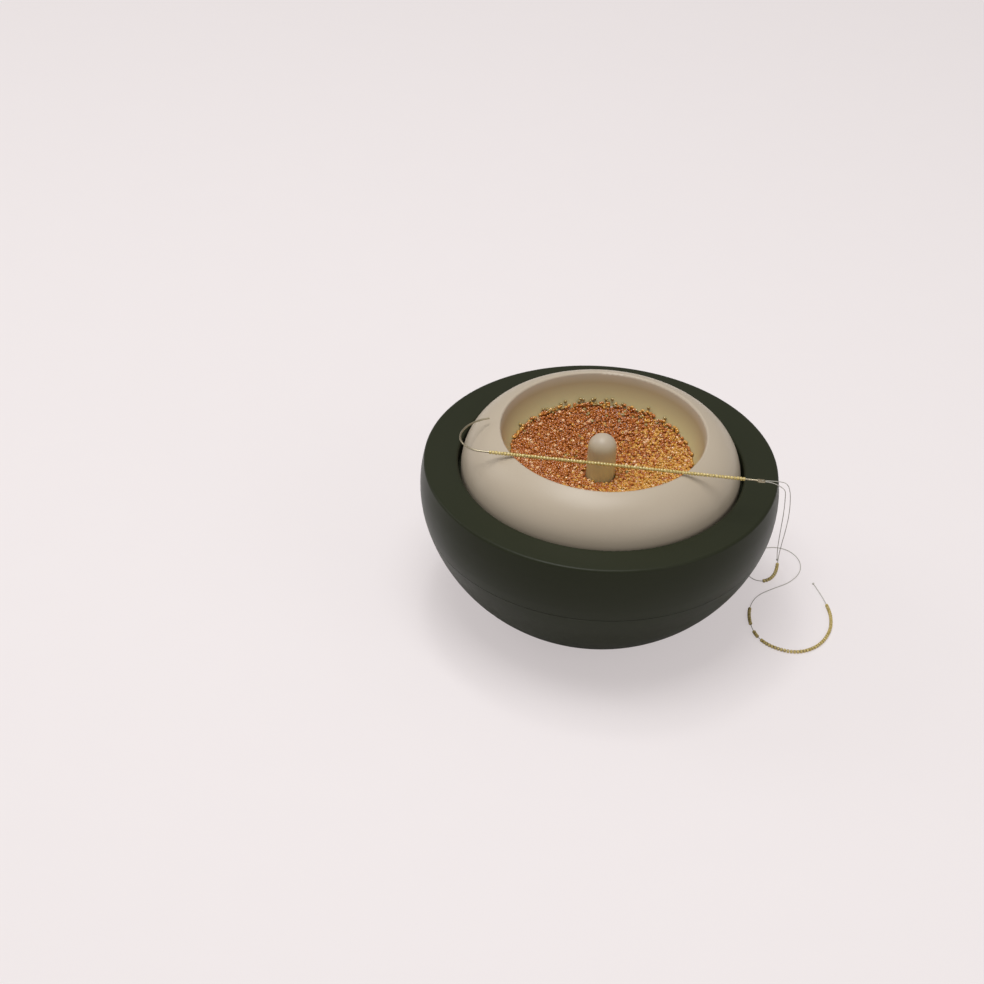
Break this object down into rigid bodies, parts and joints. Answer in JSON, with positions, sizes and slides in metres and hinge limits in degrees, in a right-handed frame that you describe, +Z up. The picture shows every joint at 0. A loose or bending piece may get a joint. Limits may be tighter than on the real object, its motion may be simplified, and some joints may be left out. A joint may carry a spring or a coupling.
{
  "type": "bead spinner",
  "caption": "Battery bead spinner: round two-shell base with gear drive, lift-off bowl of seed beads on a centre post, and a hooked beading needle with thread.",
  "frame": {"origin": "on the table under the middle of the base", "axes": "+Z up along the bowl's axis, -Y to the front, where the needle lies, and +Y to the rear wall with its switch"},
  "size_m": [0.2181, 0.1829, 0.107],
  "materials": {
    "housing": "gloss",
    "feet": "matt",
    "steel": "satin",
    "inner_plastic": "matt",
    "bush": "satin",
    "gear": "matt",
    "motor_case": "satin",
    "magnet": "matt",
    "contact": "satin",
    "cell": "satin",
    "switch": "satin",
    "wire_red": "satin",
    "wire_black": "satin",
    "bowl": "gloss",
    "amber_beads": "gloss",
    "needle": "polished",
    "gold_beads": "gloss",
    "thread": "satin"
  },
  "bodies": {
    "base": {"upper_housing": "housing", "lower_housing": "housing", "rubber_feet": "feet", "housing_screws": "steel", "gear_plate": "inner_plastic", "plate_screws": "steel", "lower_bush": "bush", "upper_bush": "bush", "idler_axle": "steel", "motor_can": "motor_case", "motor_magnets": "magnet", "motor_end_cap": "inner_plastic", "motor_terminals": "contact", "motor_screws": "steel", "battery_cell_1": "cell", "battery_cell_2": "cell", "battery_bridge": "contact", "battery_plus": "contact", "battery_minus": "contact", "switch_body": "switch", "switch_terminals": "contact", "battery_wire_plus": "wire_red", "battery_wire_minus": "wire_black", "motor_wire_left": "wire_red", "motor_wire_right": "wire_black"},
    "spindle": {"spindle_shaft": "steel", "spindle_clip": "steel", "spindle_gear": "gear", "drive_hub": "gear"},
    "idler": {"idler_gear": "gear"},
    "rotor": {"motor_shaft": "steel", "armature": "steel", "motor_pinion": "bush"},
    "bowl": {"bowl": "bowl", "bead_fill": "amber_beads"},
    "needle": {"needle": "needle", "needle_beads": "gold_beads", "thread": "thread", "thread_strand": "thread", "thread_beads": "gold_beads", "thread_knots": "thread"},
    "switch": {"switch_rocker": "switch"},
    "battery_door": {"battery_door": "housing", "door_screws": "steel"}
  },
  "joints": [
    {"name": "bowl_spin", "type": "hinge", "parent": "base", "child": "spindle", "pos_m": [0, 0, 0], "axis": [0, 0, 1], "continuous": true},
    {"name": "idler_spin", "type": "hinge", "parent": "base", "child": "idler", "pos_m": [0, 0.024, 0], "axis": [0, 0, 1], "continuous": true},
    {"name": "motor_spin", "type": "hinge", "parent": "base", "child": "rotor", "pos_m": [0, 0.0396, 0], "axis": [0, 0, 1], "continuous": true},
    {"name": "bowl_lift", "type": "slide", "parent": "spindle", "child": "bowl", "axis": [0, 0, 1], "range_m": [0, 0.06]},
    {"name": "needle_lift", "type": "slide", "parent": "base", "child": "needle", "axis": [0.3304, 0, 0.9439], "range_m": [0, 0.0636]},
    {"name": "switch_rock", "type": "hinge", "parent": "base", "child": "switch", "pos_m": [0, 0.0845, 0.066], "axis": [0, 0, 1], "range_deg": [-9, 9]},
    {"name": "door_drop", "type": "slide", "parent": "base", "child": "battery_door", "axis": [0, 0, -1], "range_m": [0, 0.025]}
  ],
  "couplings": [
    {"joint": "idler_spin", "follows": "bowl_spin", "ratio": -4},
    {"joint": "motor_spin", "follows": "bowl_spin", "ratio": 13.333},
    {"joint": "needle_lift", "follows": "bowl_lift", "ratio": 1.0595}
  ]
}
